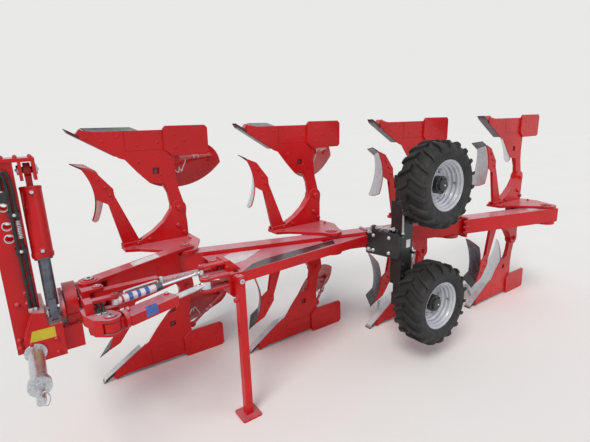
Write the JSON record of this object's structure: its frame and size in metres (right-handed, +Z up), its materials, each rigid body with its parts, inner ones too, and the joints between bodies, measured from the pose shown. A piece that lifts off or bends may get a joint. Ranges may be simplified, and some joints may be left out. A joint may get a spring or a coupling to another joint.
{
  "type": "mounted reversible moldboard plough",
  "caption": "Mounted reversible plough with paired upper and lower bodies, skimmers, twin depth wheels, parking stand and width linkage",
  "frame": {"origin": "middle of the floor under the parked plough", "axes": "+X rearwards along the line of travel, +Y to the right of the plough seen from the tractor, +Z up"},
  "size_m": [4.689, 1.7644, 1.78],
  "materials": {
    "red_paint": "semi-gloss, scuffed on edges",
    "bare_steel": "turned, dull",
    "dark_steel": "satin",
    "chrome": "polished",
    "zinc": "satin",
    "black_paint": "satin",
    "tyre_rubber": "matt",
    "rim_paint": "satin",
    "board_steel": "red on the back, ground steel on the working face",
    "share_steel": "forged, ground"
  },
  "bodies": {
    "headstock": {"headstock_tower": "red_paint", "headstock_frame": "red_paint", "shaft_housing": "red_paint", "lower_link_axle": "bare_steel"},
    "rotor": {"turnover_hub": "red_paint"},
    "turnover_cylinder": {"turnover_barrel": "red_paint"},
    "turnover_piston": {"turnover_rod": "dark_steel"},
    "link": {"main_link": "red_paint"},
    "offset_link": {"offset_link": "red_paint"},
    "width_cylinder": {"width_barrel": "red_paint"},
    "width_piston": {"width_rod": "chrome"},
    "memory_cylinder": {"memory_barrel": "zinc"},
    "memory_piston": {"memory_rod": "chrome"},
    "beam": {"main_beam": "red_paint", "front_brace": "red_paint", "beam_sleeve": "red_paint", "wheel_mast": "black_paint"},
    "tie_bar": {"tie_bar": "red_paint"},
    "stand": {"stand": "red_paint"},
    "wheel_slide_upper": {"wheel_arm_upper": "black_paint"},
    "wheel_slide_lower": {"wheel_arm_lower": "black_paint"},
    "wheel_upper": {"tyre_upper": "tyre_rubber", "rim_upper": "rim_paint"},
    "wheel_lower": {"tyre_lower": "tyre_rubber", "rim_lower": "rim_paint"},
    "row_1": {"carrier_1": "red_paint", "frogs_1": "red_paint", "moldboards_1": "board_steel", "shares_1": "share_steel", "skimmers_1": "red_paint"},
    "row_2": {"carrier_2": "red_paint", "frogs_2": "red_paint", "moldboards_2": "board_steel", "shares_2": "share_steel", "skimmers_2": "red_paint"},
    "row_3": {"carrier_3": "red_paint", "frogs_3": "red_paint", "moldboards_3": "board_steel", "shares_3": "share_steel", "skimmers_3": "red_paint"},
    "row_4": {"carrier_4": "red_paint", "frogs_4": "red_paint", "moldboards_4": "board_steel", "shares_4": "share_steel", "skimmers_4": "red_paint"}
  },
  "joints": [
    {"name": "turnover", "type": "hinge", "parent": "headstock", "child": "rotor", "pos_m": [-2.04453, -0.11778, 0.89], "axis": [-1, 0, 0], "range_deg": [0, 180]},
    {"name": "turnover_cylinder_swing", "type": "hinge", "parent": "headstock", "child": "turnover_cylinder", "pos_m": [-2.16453, -0.11778, 1.59], "axis": [1, 0, 0], "range_deg": [0, 18.67]},
    {"name": "turnover_rod_stroke", "type": "slide", "parent": "turnover_cylinder", "child": "turnover_piston", "axis": [0, 0.1621, 0.9868], "range_m": [0, 0.1244]},
    {"name": "width_adjust", "type": "hinge", "parent": "rotor", "child": "link", "pos_m": [-1.98453, -0.17778, 0.89], "axis": [0, 0, -1], "range_deg": [0, 16]},
    {"name": "beam_swing", "type": "hinge", "parent": "link", "child": "beam", "pos_m": [-1.35453, 0.10722, 0.89], "axis": [0, 0, -1], "range_deg": [-4.17, 0]},
    {"name": "offset_link_swing", "type": "hinge", "parent": "rotor", "child": "offset_link", "pos_m": [-1.96453, -0.28778, 0.942], "axis": [0, 0, -1], "range_deg": [0, 16.6]},
    {"name": "width_cylinder_swing", "type": "hinge", "parent": "rotor", "child": "width_cylinder", "pos_m": [-1.95953, -0.57278, 0.894], "axis": [0, 0, -1], "range_deg": [0, 15.77]},
    {"name": "width_rod_stroke", "type": "slide", "parent": "width_cylinder", "child": "width_piston", "axis": [0.9455, 0.3257, 0], "range_m": [-0.07617, 0]},
    {"name": "memory_cylinder_swing", "type": "hinge", "parent": "rotor", "child": "memory_cylinder", "pos_m": [-1.91453, -0.46778, 0.96], "axis": [0, 0, -1], "range_deg": [0, 18.83]},
    {"name": "memory_rod_stroke", "type": "slide", "parent": "memory_cylinder", "child": "memory_piston", "axis": [0.9747, 0.2234, 0], "range_m": [-0.05023, 0]},
    {"name": "body_swing_1", "type": "hinge", "parent": "beam", "child": "row_1", "pos_m": [-1.35453, 0.10722, 0.89], "axis": [0, 0, -1], "range_deg": [-11.86, 0]},
    {"name": "body_swing_2", "type": "hinge", "parent": "beam", "child": "row_2", "pos_m": [-0.33453, -0.19278, 0.89], "axis": [0, 0, -1], "range_deg": [-11.86, 0]},
    {"name": "body_swing_3", "type": "hinge", "parent": "beam", "child": "row_3", "pos_m": [0.68547, -0.49278, 0.89], "axis": [0, 0, -1], "range_deg": [-11.86, 0]},
    {"name": "body_swing_4", "type": "hinge", "parent": "beam", "child": "row_4", "pos_m": [1.70547, -0.79278, 0.89], "axis": [0, 0, -1], "range_deg": [-11.86, 0]},
    {"name": "tie_bar_swing", "type": "hinge", "parent": "row_1", "child": "tie_bar", "pos_m": [-1.32575, 0.20508, 0.89], "axis": [0, 0, -1], "range_deg": [0, 11.86]},
    {"name": "stand_fold", "type": "hinge", "parent": "beam", "child": "stand", "pos_m": [-1.24953, -0.46478, 0.898], "axis": [0, -1, 0], "range_deg": [0, 90]},
    {"name": "wheel_height_upper", "type": "slide", "parent": "beam", "child": "wheel_slide_upper", "axis": [0, 0, 1], "range_m": [-0.06, 0.08]},
    {"name": "wheel_height_lower", "type": "slide", "parent": "beam", "child": "wheel_slide_lower", "axis": [0, 0, -1], "range_m": [-0.06, 0.08]},
    {"name": "wheel_spin_upper", "type": "hinge", "parent": "wheel_slide_upper", "child": "wheel_upper", "pos_m": [0.15547, -0.73778, 1.327], "axis": [0, 1, 0], "continuous": true},
    {"name": "wheel_spin_lower", "type": "hinge", "parent": "wheel_slide_lower", "child": "wheel_lower", "pos_m": [0.15547, -0.73778, 0.453], "axis": [0, 1, 0], "continuous": true}
  ],
  "couplings": [
    {"joint": "turnover_cylinder_swing", "follows": "turnover", "ratio": 0.10366},
    {"joint": "beam_swing", "follows": "width_adjust", "ratio": -0.2597},
    {"joint": "offset_link_swing", "follows": "width_adjust", "ratio": 1.037},
    {"joint": "width_cylinder_swing", "follows": "width_adjust", "ratio": 0.985},
    {"joint": "width_rod_stroke", "follows": "width_adjust", "m_per_rad": -0.2724},
    {"joint": "memory_cylinder_swing", "follows": "width_adjust", "ratio": 1.176},
    {"joint": "memory_rod_stroke", "follows": "width_adjust", "m_per_rad": -0.1795},
    {"joint": "body_swing_1", "follows": "width_adjust", "ratio": -0.7403},
    {"joint": "body_swing_2", "follows": "width_adjust", "ratio": -0.7403},
    {"joint": "body_swing_3", "follows": "width_adjust", "ratio": -0.7403},
    {"joint": "body_swing_4", "follows": "width_adjust", "ratio": -0.7403},
    {"joint": "tie_bar_swing", "follows": "width_adjust", "ratio": 0.7403}
  ]
}
